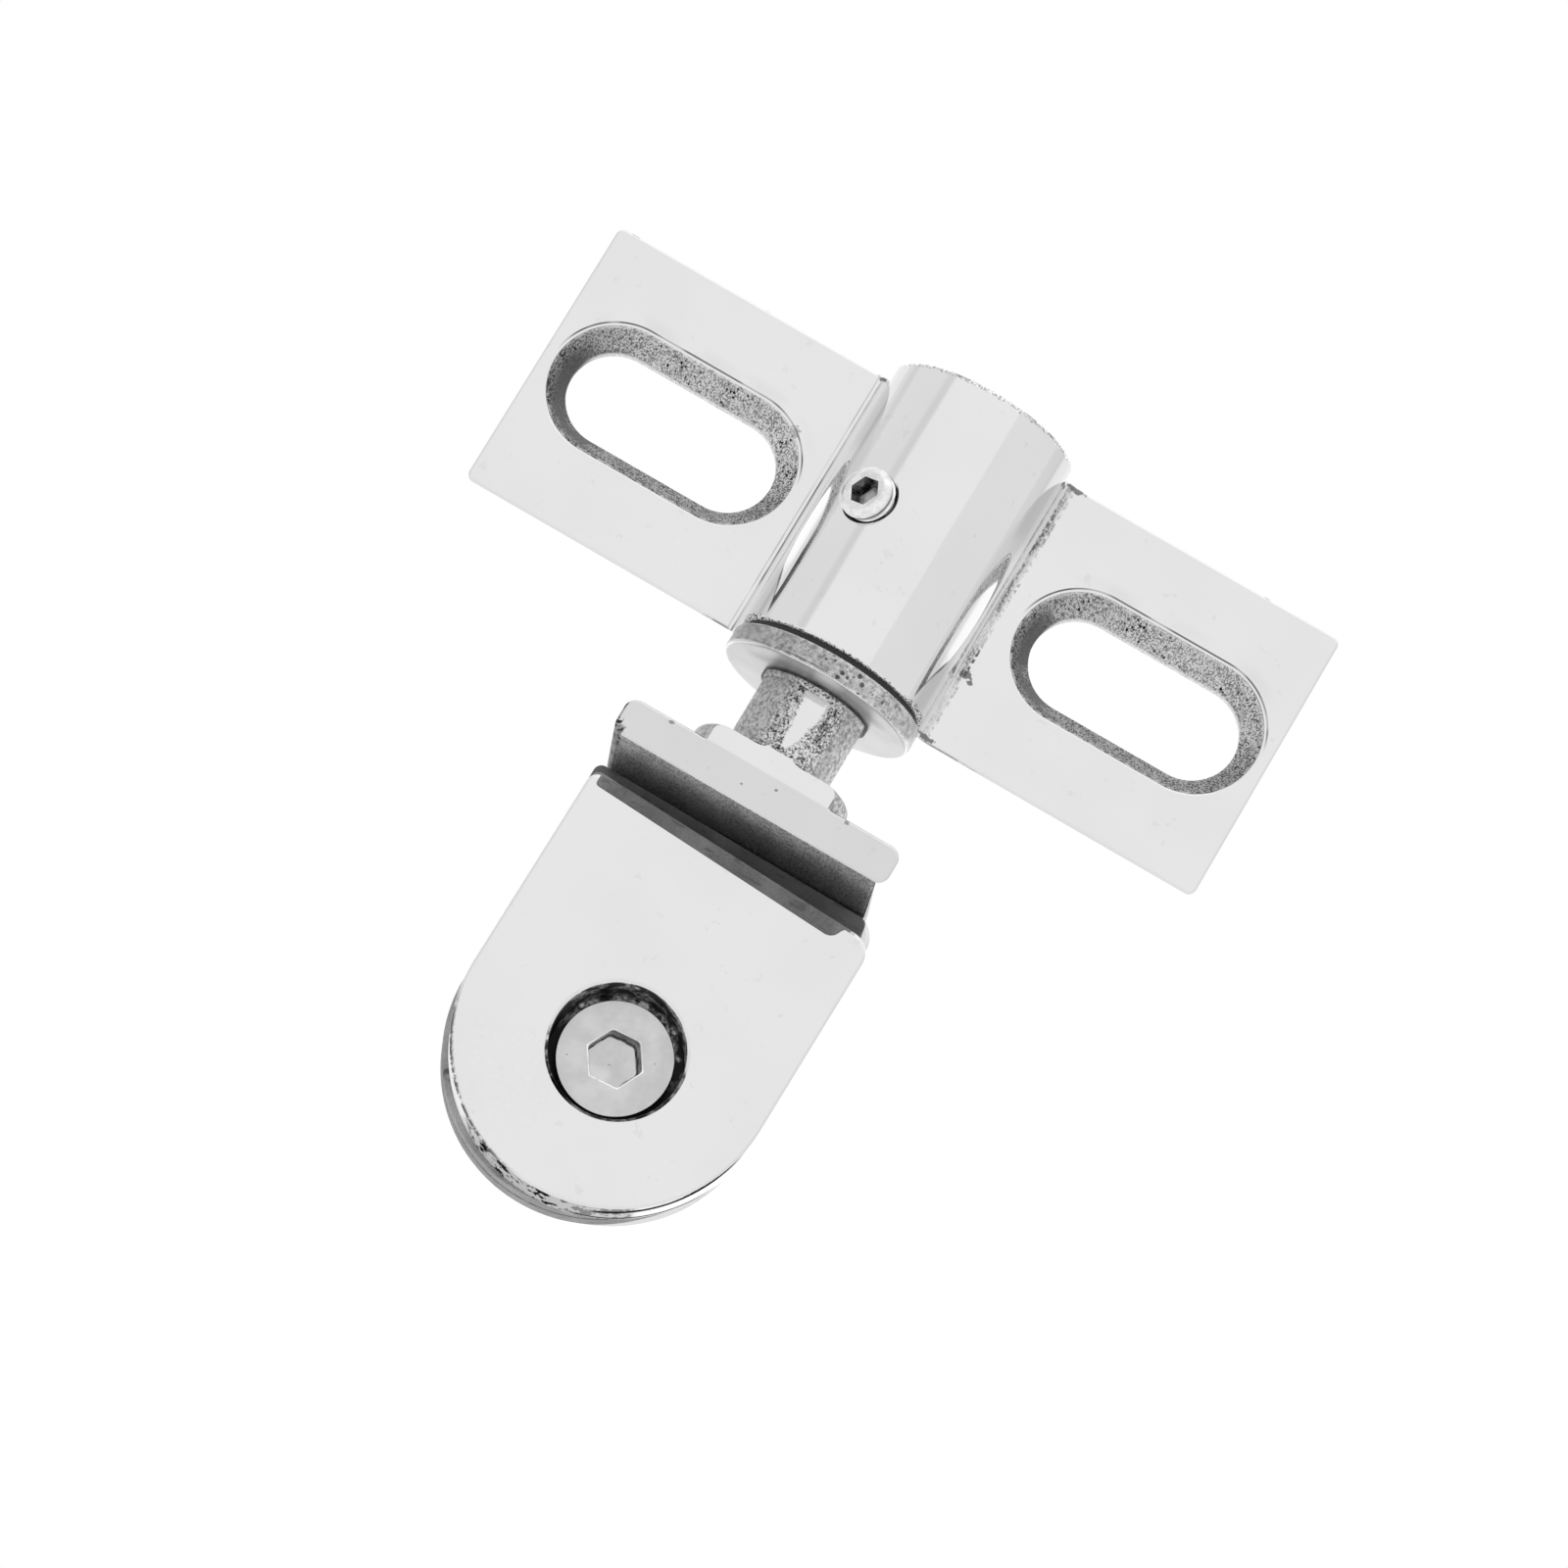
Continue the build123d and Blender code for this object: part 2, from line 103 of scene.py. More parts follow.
# Node helpers
class Graph:
    """A node tree, with short calls for the nodes that this scene uses. Lengths in it are millimetres."""

    def __init__(self, tree):
        self.tree = tree
        self.tree.nodes.clear()

    def node(self, kind, **fields):
        n = self.tree.nodes.new(kind)
        for key, value in fields.items():
            setattr(n, key, value)
        return n

    def put(self, socket, value):
        if isinstance(value, bpy.types.NodeSocket):
            self.tree.links.new(value, socket)
        else:
            socket.default_value = value

    def fill(self, n, *values):
        """Puts values into a node's first inputs, in order."""
        for i, value in enumerate(values):
            self.put(n.inputs[i], value)
        return n

    def math(self, op, a, b=0.0):
        return self.fill(self.node("ShaderNodeMath", operation=op), a, b).outputs[0]

    def add(self, a, b):
        return self.math("ADD", a, b)

    def sub(self, a, b):
        return self.math("SUBTRACT", a, b)

    def mul(self, first, *others):
        """The product of two values or more. Masks are combined by it."""
        for other in others:
            first = self.math("MULTIPLY", first, other)
        return first

    def most(self, a, b):
        return self.math("MAXIMUM", a, b)

    def least(self, a, b):
        return self.math("MINIMUM", a, b)

    def size(self, a):
        return self.math("ABSOLUTE", a)

    def length(self, a, b):
        return self.math("SQRT", self.add(self.mul(a, a), self.mul(b, b)))

    def span(self, value, start, end, at_start=0.0, at_end=1.0):
        """Goes smoothly from one result at `start` to another at `end`, which may be the lower of the two.

        As a mask it is zero up to `start` and one from `end` on.
        """
        n = self.node("ShaderNodeMapRange", interpolation_type="SMOOTHSTEP")
        return self.fill(n, value, start, end, at_start, at_end).outputs[0]

    def ramp(self, value, start, end, at_start, at_end):
        """The same as span in a straight line."""
        return self.fill(self.node("ShaderNodeMapRange"), value, start, end, at_start, at_end).outputs[0]

    def band(self, value, low, high, soft):
        """One inside low to high, zero outside, with soft edges."""
        rise = self.span(value, low - soft, low + soft)
        return self.mul(rise, self.span(value, high + soft, high - soft))

    def vary(self, noise, low, high):
        """Spreads a noise between two values."""
        return self.span(noise, 0.3, 0.7, low, high)

    def mix(self, factor, a, b):
        """`a` where the factor is zero, `b` where it is one."""
        n = self.node("ShaderNodeMix", data_type="FLOAT")
        self.put(n.inputs[0], factor)
        self.put(n.inputs[2], a)
        self.put(n.inputs[3], b)
        return n.outputs[0]

    def split(self, vector):
        n = self.fill(self.node("ShaderNodeSeparateXYZ"), vector)
        return n.outputs[0], n.outputs[1], n.outputs[2]

    def stretch(self, vector, x, y, z):
        n = self.fill(self.node("ShaderNodeVectorMath", operation="MULTIPLY"), vector)
        n.inputs[1].default_value = (x, y, z)
        return n.outputs[0]

    def grey(self, value):
        """A grey as a colour."""
        return self.fill(self.node("ShaderNodeCombineColor"), value, value, value).outputs[0]


class Finish(Graph):
    """A material, with its coordinates in millimetres of the hinge's own frame."""

    def __init__(self, name):
        self.material = bpy.data.materials.new(name)
        self.material.use_nodes = True
        super().__init__(self.material.node_tree)
        out = self.node("ShaderNodeOutputMaterial")
        self.shader = self.node("ShaderNodeBsdfPrincipled")
        self.put(out.inputs[0], self.shader.outputs[0])
        coords = self.node("ShaderNodeTexCoord").outputs["Object"]
        self.at = self.stretch(coords, 1 / MM, 1 / MM, 1 / MM)
        self.x, self.y, self.z = self.split(self.at)

    def set(self, **values):
        """Puts values into the shader's inputs, named with _ for a space."""
        for key, value in values.items():
            self.put(self.shader.inputs[key.replace("_", " ")], value)

    def tone(self, value, socket="Base Color"):
        """Gives a grey to the shader."""
        self.put(self.shader.inputs[socket], self.grey(value))
        return self

    def noise(self, grain, detail=2.0, rough=0.5, at=None, distortion=0.0):
        """Noise whose grains are about `grain` millimetres across."""
        n = self.node("ShaderNodeTexNoise")
        self.put(n.inputs["Vector"], at or self.at)
        n.inputs["Scale"].default_value = 1.0 / grain
        n.inputs["Detail"].default_value = detail
        n.inputs["Roughness"].default_value = rough
        n.inputs["Distortion"].default_value = distortion
        return n.outputs["Fac"]

    def soft(self, grain):
        """Noise without fine detail."""
        return self.noise(grain, 1.0)

    def ragged(self, grain):
        """Noise with torn edges."""
        return self.noise(grain, 3.0, 0.7)

    def spots(self, spacing, radius, share, at=None):
        """Small round spots, one in some of the cells of a loose grid: 1 in a spot, 0 outside."""
        n = self.node("ShaderNodeTexVoronoi")
        self.put(n.inputs["Vector"], at or self.at)
        n.inputs["Scale"].default_value = 1.0 / spacing
        pick, _, vary = self.split(n.outputs["Color"])
        unit = radius / spacing
        depth = self.sub(n.outputs["Distance"], self.mul(self.add(vary, 0.4), unit))
        inside = self.span(depth, 0.1 * unit, -0.3 * unit)
        return self.mul(inside, self.span(pick, share + 0.01, share))

    def bump(self, height, distance, strength):
        n = self.node("ShaderNodeBump")
        n.inputs["Strength"].default_value = strength
        n.inputs["Distance"].default_value = distance * MM
        self.put(n.inputs["Height"], height)
        return n.outputs[0]


def dress(node, finish):
    """Gives every slot of a CAD node this finish."""
    slots = node.data.materials
    if not len(slots):
        slots.append(finish.material)
    for i in range(len(slots)):
        slots[i] = finish.material


# Patterns that several finishes share
def polished(f):
    """Tone of worn bright chrome, with slight clouds of painted light and shade, smudges, and where its few pits
    are.
    """
    # Painted light and shade: faint clouds of lighter and darker tone
    clouds = f.vary(f.noise(9.0), -0.012, 0.012)
    smudges = f.mul(f.span(f.noise(1.5, 3.0, 0.6), 0.64, 0.72), -0.05)
    pits = f.spots(4.5, 0.13, 0.16)
    tone = f.mix(pits, f.add(f.add(clouds, smudges), POLISH), 0.52)
    return tone, pits


def cast(f, dark, light, grain=0.22, at=None):
    """The speckle of unpolished cast metal under chrome, and its fine grain."""
    fine = f.noise(grain, 2.5, 0.65, at)
    patch = f.noise(1.6, at=at)
    return f.mix(f.span(f.add(f.mul(fine, 0.8), f.mul(patch, 0.2)), 0.36, 0.62), dark, light), fine


def blot(f, x, z, half_width, half_height):
    """A ragged mark at a place in the front view: 1 in it, 0 outside."""
    dx = f.mul(f.sub(f.x, x), 1.0 / half_width)
    dz = f.mul(f.sub(f.z, z), 1.0 / half_height)
    return f.span(f.add(f.length(dx, dz), f.mul(f.ragged(0.35), 2.2)), 1.95, 1.7)


def blots(f, tone, places, strength, dark):
    """Darkens the tone in a blot at each place, given as x, z, half width and half height."""
    for place in places:
        tone = f.mix(f.mul(blot(f, *place), strength), tone, dark)
    return tone


def set_screw_place(f):
    """How far a point is along the set screw's axis, and from it."""
    y = f.sub(f.y, AXIS_Y)
    along = f.add(f.mul(f.x, -sin(SET_SCREW_TURN)), f.mul(y, -cos(SET_SCREW_TURN)))
    aside = f.add(f.mul(f.x, cos(SET_SCREW_TURN)), f.mul(y, -sin(SET_SCREW_TURN)))
    return along, f.length(aside, f.z)


# Bracket
def slot_walls(f):
    """Where the slots' walls are, their tone and grain, and how far a point is from a slot's middle line.

    They are bare cast metal, lighter on the wall above, with a smooth dark smear at the left.
    """
    along = f.sub(f.x, f.mul(f.math("SIGN", f.x), SLOT_X))
    run = f.most(f.sub(f.size(along), SLOT_HALF_RUN), 0.0)
    reach = f.length(run, f.z)
    walls = f.mul(
        f.span(reach, SLOT_MOUTH - 0.04, SLOT_MOUTH - 0.18),
        f.span(f.y, -0.02, -0.06),
        f.span(f.size(f.x), BARREL_RADIUS + 1.4, BARREL_RADIUS + 1.5),
    )

    drawn = f.stretch(f.at, 1.0, 0.35, 1.0)
    grain = f.noise(0.15, 2.0, 0.7, drawn)
    worn = f.add(f.mul(grain, 0.85), f.mul(f.noise(1.6), 0.15))
    speckle = f.span(worn, 0.42, 0.55, f.span(f.z, 0.0, 4.0, 0.05, 0.3), 1.0)
    crowded = f.most(f.span(f.soft(2.5), 0.35, 0.6), f.ramp(along, -12.0, -7.0, 1.0, 0.0))
    speckle = f.mix(f.mul(f.spots(0.32, 0.1, 0.75, drawn), crowded), speckle, 0.01)
    lift = f.mul(f.span(f.z, -3.5, 4.5, 0.42, 0.92), f.ramp(along, -12.0, -5.0, 0.6, 1.0))

    lean = f.add(f.ramp(along, -12.0, -3.0, 0.36, -0.05), f.ramp(f.z, -5.0, 5.0, 0.06, -0.08))
    smear = f.mul(
        f.span(f.add(f.soft(4.0), lean), 0.58, 0.68),
        f.span(reach, SLOT_MOUTH - 0.4, SLOT_MOUTH - 1.2),
        f.span(f.z, 5.0, 1.0),
    )
    tone = f.mix(f.mul(smear, 0.9), f.mul(speckle, lift), 0.12)

    # Painted highlights on bright edges: at the mouth in places, and along the back of the wall above
    rim = f.mul(f.band(reach, SLOT_MOUTH - 0.3, SLOT_MOUTH - 0.1, 0.08), f.span(f.noise(0.8), 0.4, 0.6))
    tone = f.mix(f.mul(rim, 0.6), tone, 0.8)
    land = f.mul(f.band(f.y, -0.9, -0.05, 0.08), f.span(f.z, 1.0, 3.0))
    tone = f.mix(f.mul(land, 0.7), tone, 0.8)
    return walls, tone, grain, reach


def slot_mouths(f, tone, reach):
    """A thin dark line of painted shade just outside each slot's mouth, along its upper part, with a soft painted
    shade above it.
    """
    # Painted shade: a thin dark line just outside the mouth, along its upper part
    line = f.mul(
        f.band(reach, SLOT_MOUTH + 0.12, SLOT_MOUTH + 0.28, 0.05),
        f.span(f.z, 0.5, 3.5),
        f.span(f.y, EAR_FRONT + 0.2, EAR_FRONT + 0.1),
        f.span(f.soft(3.0), 0.35, 0.55, 0.45, 1.0),
    )
    tone = f.mix(line, tone, 0.12)
    # Painted shade: a soft darkening above the mouth
    shade = f.mul(
        f.band(reach, SLOT_MOUTH + 0.2, SLOT_MOUTH + 1.2, 0.6),
        f.span(f.z, 3.0, 6.5),
        f.span(f.soft(4.0), 0.35, 0.65),
    )
    tone = f.mix(f.mul(shade, 0.18), tone, 0.55)
    return blots(f, tone, [(-14.3, 5.05, 0.6, 0.75)], 0.7, 0.3)


def root_marks(f):
    """Painted dark reflections in the roots of the barrel, which are also made rougher: two thin lines at the
    left, a mottled band at the right.
    """
    near_root = f.mul(
        f.span(f.y, EAR_FRONT - 1.8, EAR_FRONT - 1.4),
        f.span(f.y, EAR_FRONT + 0.4, EAR_FRONT + 0.2),
    )
    streak = f.span(f.noise(1.2, 2.0, 0.6, f.stretch(f.at, 1.0, 1.0, 0.2)), 0.36, 0.6, 0.3, 1.0)
    left = f.most(f.band(f.x, -10.02, -9.88, 0.05), f.mul(f.band(f.x, -10.4, -10.28, 0.06), 0.5))
    right = f.mul(
        f.band(f.x, 9.36, 9.86, 0.1),
        f.span(f.ragged(0.3), 0.4, 0.6, 0.3, 1.0),
        f.span(f.z, -9.0, -6.5, 0.35, 1.0),
    )
    right = f.most(right, f.mul(f.band(f.x, 9.9, 10.15, 0.06), f.span(f.noise(0.4), 0.46, 0.54)))
    return f.mul(f.most(left, right), near_root, streak)


def barrel_rims(f, tone):
    """A chipped lower rim and a rough upper one. Also gives where the chips are."""
    chips = f.add(f.z, f.mul(f.ragged(0.5), 0.9))
    chips = f.sub(chips, f.span(f.size(f.x), 6.5, 8.2, 0.0, 0.4))
    chipped = f.mul(f.span(chips, 0.6 - BARREL_END, 0.5 - BARREL_END), f.span(f.y, -5.0, -6.0))
    tone = f.mix(chipped, tone, f.span(f.noise(0.16, 2.0, 0.7), 0.42, 0.56, 0.03, 0.9))

    ragged = f.add(f.z, f.mul(f.sub(f.ragged(0.4), 0.5), 0.7))
    from_axis = f.length(f.x, f.sub(f.y, AXIS_Y))
    upper = f.mul(
        f.span(ragged, BARREL_END - 0.5, BARREL_END - 0.38),
        f.span(f.y, -6.0, AXIS_Y),
        f.span(from_axis, BARREL_RADIUS - 0.4, BARREL_RADIUS - 0.3),
    )
    tone = f.mix(f.mul(upper, 0.9), tone, f.span(f.ragged(0.22), 0.36, 0.62, 0.3, 1.0))
    places = [(-3.2, 13.75, 1.0, 0.3), (3.9, 13.75, 0.7, 0.25), (6.3, 13.7, 0.5, 0.25)]
    return blots(f, tone, places, f.mul(upper, 0.7), 0.15), chipped


def set_screw_gap(f, tone):
    """Painted shade in the gap round the set screw, below it and at its right."""
    along, away = set_screw_place(f)
    gap = f.mul(
        f.span(away, 2.5, 2.55),
        f.span(away, 2.72, 2.66),
        f.span(along, 7.0, 8.0),
        f.span(f.sub(f.x, f.z), -5.6, -4.4),
    )
    return f.mix(gap, tone, 0.03)


def bracket_chrome():
    """Worn bright chrome on a casting that is bare in the slots and on the back."""
    f = Finish("bracket_chrome")
    tone, pits = polished(f)
    side = f.size(f.x)
    walls, wall_tone, grain, reach = slot_walls(f)
    tone = slot_mouths(f, tone, reach)
    # Painted dark reflections in the roots of the barrel
    marks = root_marks(f)
    tone = f.mix(marks, tone, 0.16)

    # Dark marks at the ends of the roots, and lighter ones on the ears' upper edges
    front = f.span(f.y, EAR_FRONT + 0.7, EAR_FRONT + 0.4)
    at_roots = [(10.2, -6.5, 0.7, 0.6), (10.7, -7.0, 0.6, 0.25), (-9.95, 13.55, 0.75, 0.3),
                (10.1, 13.5, 1.1, 0.4), (9.9, -13.45, 1.2, 0.3)]
    tone = blots(f, tone, at_roots, f.mul(front, 0.85), 0.12)
    on_edges = [(-35.8, 13.7, 0.5, 0.2), (-22.0, 13.75, 0.35, 0.14), (29.9, 13.7, 0.5, 0.18)]
    tone = blots(f, tone, on_edges, f.mul(front, 0.6), 0.45)

    # Painted darker reflections: the barrel's sides are darkened above and below the bright reflections of the
    # slots
    past_slots = f.most(f.span(f.z, 3.0, 6.0), f.span(f.z, -7.0, -9.5))
    dimmed_reflection = f.mul(f.span(side, BARREL_RADIUS - 1.6, BARREL_RADIUS - 1.0), f.span(f.y, -5.0, -5.2), past_slots)
    tone = f.mix(dimmed_reflection, tone, f.mul(tone, 0.8))
    tone, chipped = barrel_rims(f, tone)
    tone = set_screw_gap(f, tone)

    # The back isn't polished
    back = f.mul(f.span(f.y, -0.03, -0.01), f.span(side, HALF_WIDTH - 0.2, HALF_WIDTH - 0.3))
    tone = f.mix(back, tone, cast(f, 0.44, 0.58, 0.35)[0])
    tone = f.mix(walls, tone, wall_tone)

    rough = f.mix(walls, f.mix(pits, CLEAN, PITTED), 0.5)
    rough = f.mix(f.most(marks, chipped), rough, 0.6)
    waves = f.add(f.mul(f.soft(30.0), 3.0), f.soft(8.0))
    f.set(Metallic=1.0, Roughness=rough, Normal=f.bump(f.mix(walls, waves, grain), 0.05, 0.7))
    return f.tone(tone)


# Clamp body
def neck_cast(f):
    """Where neck, ring and the turned side of the boss are, their tone and grain.

    They are cast, coarse and hard beside a flat that is ground down the neck's front. Painted light makes them
    lighter towards the right.
    """
    ragged = f.mul(f.sub(f.ragged(0.28), 0.5), 1.1)
    flat_bottom, flat_top = -22.8, -17.2
    left_edge = f.ramp(f.z, flat_bottom, flat_top, -0.3, -0.85)
    right_edge = f.ramp(f.z, flat_bottom, flat_top - 1.8, 0.5, 1.6)
    inside = f.least(f.sub(f.x, left_edge), f.sub(right_edge, f.x))
    inside = f.least(inside, f.mul(f.sub(f.z, flat_bottom - 0.1), 1.5))
    flat = f.mul(
        f.span(f.add(inside, ragged), -0.1, 0.1),
        f.span(f.y, -11.3, -11.4),
        f.span(f.z, flat_top + 0.05, flat_top - 0.1),
    )
    boss_front = f.mul(f.span(f.y, BLOCK_FRONT + 0.05, BLOCK_FRONT + 0.01), f.span(f.z, -23.3, -23.45))
    neck = f.mul(
        f.span(f.z, WASHER_BOTTOM + 0.05, WASHER_BOTTOM),
        f.span(f.z, BLOCK_TOP - 0.1, BLOCK_TOP),
        f.sub(1.0, flat),
        f.sub(1.0, boss_front),
    )

    hard, grain = cast(f, 0.02, 0.78)
    calm, _ = cast(f, 0.28, 0.62, 0.4)
    beside = f.mul(f.span(f.size(f.sub(f.x, 0.45)), 3.8, 2.0), f.span(f.y, -8.0, -10.0))
    # Painted light: the neck's tone rises from left to right
    tone = f.mul(f.mix(beside, calm, hard), f.span(f.x, -4.0, 4.5, 0.95, 1.2))
    return neck, tone, grain


def block_underside(f, tone):
    """Unpolished, mottled at the front and darkened behind by painted shade, with a dark round at the left. Also
    gives where.
    """
    off_jaw = f.mul(
        f.span(f.z, BLOCK_BOTTOM - 0.33, BLOCK_BOTTOM - 0.23),
        f.span(f.y, REAR_JAW_FRONT, REAR_JAW_FRONT - 0.05),
    )
    under = f.mul(f.span(f.z, BLOCK_BOTTOM + 0.07, BLOCK_BOTTOM + 0.02), off_jaw)
    mottle, _ = cast(f, 0.28, 0.64, 0.24, f.stretch(f.at, 1.0, 0.35, 1.0))
    # Painted shade: the underside's tone falls towards the back, under the block
    tone = f.mix(under, tone, f.mul(mottle, f.span(f.y, -11.0, -5.0, 1.0, 0.5)))
    left_round = f.mul(f.span(f.x, -12.7, -12.9), f.span(f.z, -28.2, -28.6), off_jaw)
    tone = f.mix(left_round, tone, cast(f, 0.05, 0.4, 0.3)[0])
    return tone, under, left_round


def block_flaws(f, tone):
    """Casting flaws at the block's lower left corner, and small ones on its other edges, with painted shade on the
    block's left side near its front.
    """
    above_jaw = f.span(f.z, -30.4, -30.0)
    corner = f.mul(f.span(f.x, -12.5, -12.9), f.span(f.z, -27.6, -28.2), above_jaw, f.span(f.y, -6.5, -8.5))
    squiggle = f.size(f.sub(f.noise(1.1, 1.0, distortion=1.2), 0.5))
    crack = f.mul(corner, f.span(squiggle, 0.075, 0.055))
    left_side = f.mul(
        f.span(f.x, BLOCK_LEFT + 0.25, BLOCK_LEFT + 0.15),
        f.span(f.z, -25.9, -26.3),
        above_jaw,
        f.span(f.y, BLOCK_FRONT + 1.2, BLOCK_FRONT + 0.5),
    )
    # Painted shade: the block's left side is darkened near its front
    tone = f.mix(f.mul(left_side, 0.8), tone, 0.3)
    upright = f.noise(0.9, at=f.stretch(f.at, 1.0, 1.0, 0.5))
    crack = f.most(crack, f.mul(left_side, f.span(upright, 0.46, 0.56)))
    tone = f.mix(crack, tone, 0.04)
    places = [(-9.5, -25.95, 0.35, 0.2), (8.2, -25.9, 0.3, 0.25), (1.4, -26.5, 0.2, 0.2),
              (-1.5, -27.6, 0.16, 0.16)]
    return blots(f, tone, places, 0.7, 0.15)


def clamp_chrome():
    """Worn bright chrome, with the neck, the boss's side and the block's underside left as cast."""
    f = Finish("clamp_chrome")
    tone, pits = polished(f)

    # The block's front is a little darker than the rest
    front = f.mul(
        f.span(f.z, BLOCK_TOP + 0.1, BLOCK_TOP - 0.2),
        f.span(f.y, BLOCK_FRONT + 0.2, BLOCK_FRONT + 0.1),
    )
    tone = f.mix(front, tone, f.mul(tone, 0.865))

    neck, neck_tone, grain = neck_cast(f)
    tone = f.mix(neck, tone, neck_tone)

    # Painted shade: dark lines in the gap between washer and ring, and at the ring's side
    ring_side = f.mul(f.span(f.size(f.x), NECK_RADIUS - 0.05, NECK_RADIUS + 0.15), f.span(f.z, -17.5, -17.3))
    washer_gap_shade = f.most(f.band(f.z, -16.72, -16.4, 0.05), ring_side)
    tone = f.mix(f.mul(washer_gap_shade, 0.9), tone, 0.04)
    tone, under, left_round = block_underside(f, tone)
    tone = block_flaws(f, tone)

    rough = f.mix(neck, f.mix(pits, 0.06, PITTED), 0.5)
    rough = f.mix(f.most(under, left_round), rough, 0.6)
    height = f.mix(f.most(neck, under), f.mul(f.soft(30.0), 3.0), grain)
    f.set(Metallic=1.0, Roughness=rough, Normal=f.bump(height, 0.06, 0.7))
    return f.tone(tone)


# Front plate
def plate_marks(f, edge, low, around):
    """Pits in the lower edge, and thin dark lines where the face and the back were ground."""
    pitted = f.span(f.noise(0.5, 2.0, 0.6, f.stretch(f.at, 0.55, 0.28, 0.8)), 0.5, 0.56)
    pits = f.mul(low, pitted, f.span(f.x, 2.0, 4.5, 1.0, 0.45))

    left_line = f.mul(
        f.band(f.y, PLATE_FRONT + 0.05, PLATE_FRONT + 0.3, 0.06),
        f.span(around, -1.5, -1.2),
        f.span(around, -0.1, -0.4),
        f.span(f.ragged(0.7), 0.36, 0.5),
        0.85,
    )
    depth = f.sub(f.y, f.ramp(around, 0.35, 1.25, PLATE_FRONT + 1.65, PLATE_FRONT + 0.3))
    right_line = f.mul(
        f.span(f.size(depth), 0.5, 0.4),
        f.span(around, 0.3, 0.45),
        f.span(around, 1.45, 1.25),
        edge,
        f.span(f.noise(0.9, 3.0), 0.22, 0.34),
    )
    back_line = f.mul(
        f.band(f.y, PLATE_BACK - 0.75, PLATE_BACK - 0.25, 0.1),
        f.span(around, 0.15, 0.3),
        f.span(around, 1.25, 1.0),
        edge,
        0.85,
    )
    return f.most(f.most(pits, left_line), f.most(right_line, back_line))


def plate_chrome():
    """Polished, with a satin edge. The edge's tone is raised as painted light and lowered along the bottom as
    painted shade, and at the lower left the edge is made partly diffuse for a band of painted light. `around` is
    the angle round the screw, from below towards the right.
    """
    f = Finish("plate_chrome")
    tone, pits = polished(f)
    dx, dz = f.sub(f.x, SCREW_CENTRE[0]), f.sub(f.z, SCREW_CENTRE[1])
    reach = f.length(dx, dz)
    around = f.math("ARCTAN2", dx, f.mul(dz, -1.0))

    edge = f.mul(
        f.span(f.y, PLATE_FRONT + 0.15, PLATE_FRONT + 0.25),
        f.span(f.y, PLATE_BACK - 0.03, PLATE_BACK - 0.07),
        f.span(reach, 12.5, 13.0),
    )
    low = f.mul(edge, f.span(f.z, -63.6, -64.4), f.span(f.x, -9.0, -5.0), f.span(f.x, 11.5, 9.0))
    # Painted light on the edge, and painted shade along its bottom
    tone = f.mix(low, f.mix(edge, tone, 0.95), 0.52)
    marks = plate_marks(f, edge, low, around)
    tone = f.mix(marks, tone, 0.03)
    f.tone(f.sub(1.0, marks), "Specular Tint")

    # Counterbore: dark wall, bare and mottled in places
    bore = f.mul(
        f.span(reach, COUNTERBORE_RADIUS + 0.06, COUNTERBORE_RADIUS),
        f.span(f.y, PLATE_FRONT + 0.1, PLATE_FRONT + 0.25),
    )
    patch = f.mul(f.span(f.noise(1.8), 0.42, 0.55), f.span(dz, 0.0, 3.0))
    tone = f.mix(bore, tone, f.mix(patch, 0.04, cast(f, 0.05, 1.0, 0.4)[0]))

    # The back isn't polished
    back = f.mul(f.span(f.y, PLATE_BACK - 0.04, PLATE_BACK - 0.01), f.span(reach, 6.3, 6.6))
    tone = f.mix(back, tone, cast(f, 0.38, 0.6, 0.35)[0])

    satin_edge = f.span(around, -0.2, 0.4, 0.65, 0.4)
    rough = f.mix(bore, f.mix(edge, f.mix(pits, CLEAN, PITTED), satin_edge), 0.5)
    # Painted light: the edge at the lower left is made partly diffuse, so that it shows a light band
    painted_light_band = f.mul(edge, f.span(around, -1.45, -1.1), f.span(around, 0.3, -0.3), f.sub(1.0, marks))
    waves = f.mul(f.soft(30.0), 3.0)
    f.set(Metallic=f.mix(painted_light_band, 1.0, 0.25), Roughness=rough, Normal=f.bump(waves, 0.05, 0.7))
    return f.tone(tone)


